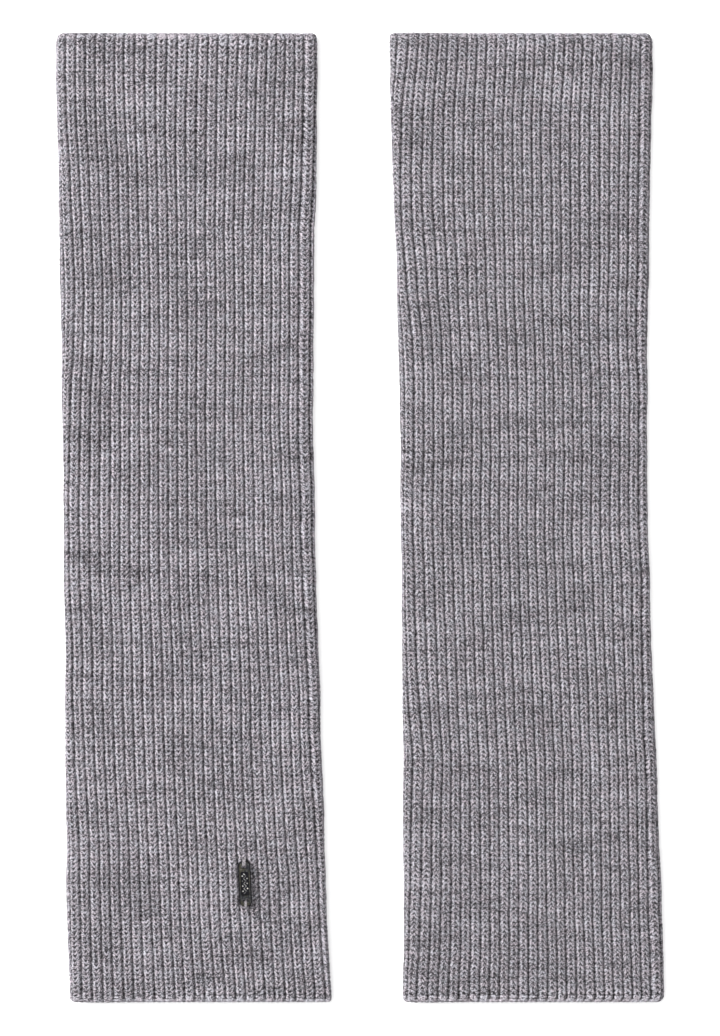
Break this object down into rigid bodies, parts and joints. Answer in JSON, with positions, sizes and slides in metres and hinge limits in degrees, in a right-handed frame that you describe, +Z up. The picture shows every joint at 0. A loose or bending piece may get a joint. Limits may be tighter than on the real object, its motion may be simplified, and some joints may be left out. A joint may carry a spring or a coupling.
{
  "type": "pair of knitted arm warmers",
  "caption": "Long straight rib-knit arm warmers laid flat side by side, open tubes with a cast-on top edge and a bound-off hem, one carrying a small sewn-on metal badge.",
  "frame": {"origin": "on the surface that the pair lies on, under the middle of the pair", "axes": "+Z up off the surface, +Y along the warmers from their bound-off hems to their cast-on edges, +X across the pair from the warmer with the badge to the plain one"},
  "size_m": [0.2264, 0.36, 0.0063],
  "materials": {
    "rib_knit": "heather grey 1x1 rib knit of soft mottled wool yarn, matt with a faint fuzz",
    "badge_metal": "dark gunmetal plating, satin, a little worn to grey on its edges"
  },
  "bodies": {
    "root": {"left_arm_warmer": "rib_knit", "right_arm_warmer": "rib_knit", "badge_plate": "badge_metal"}
  },
  "joints": []
}
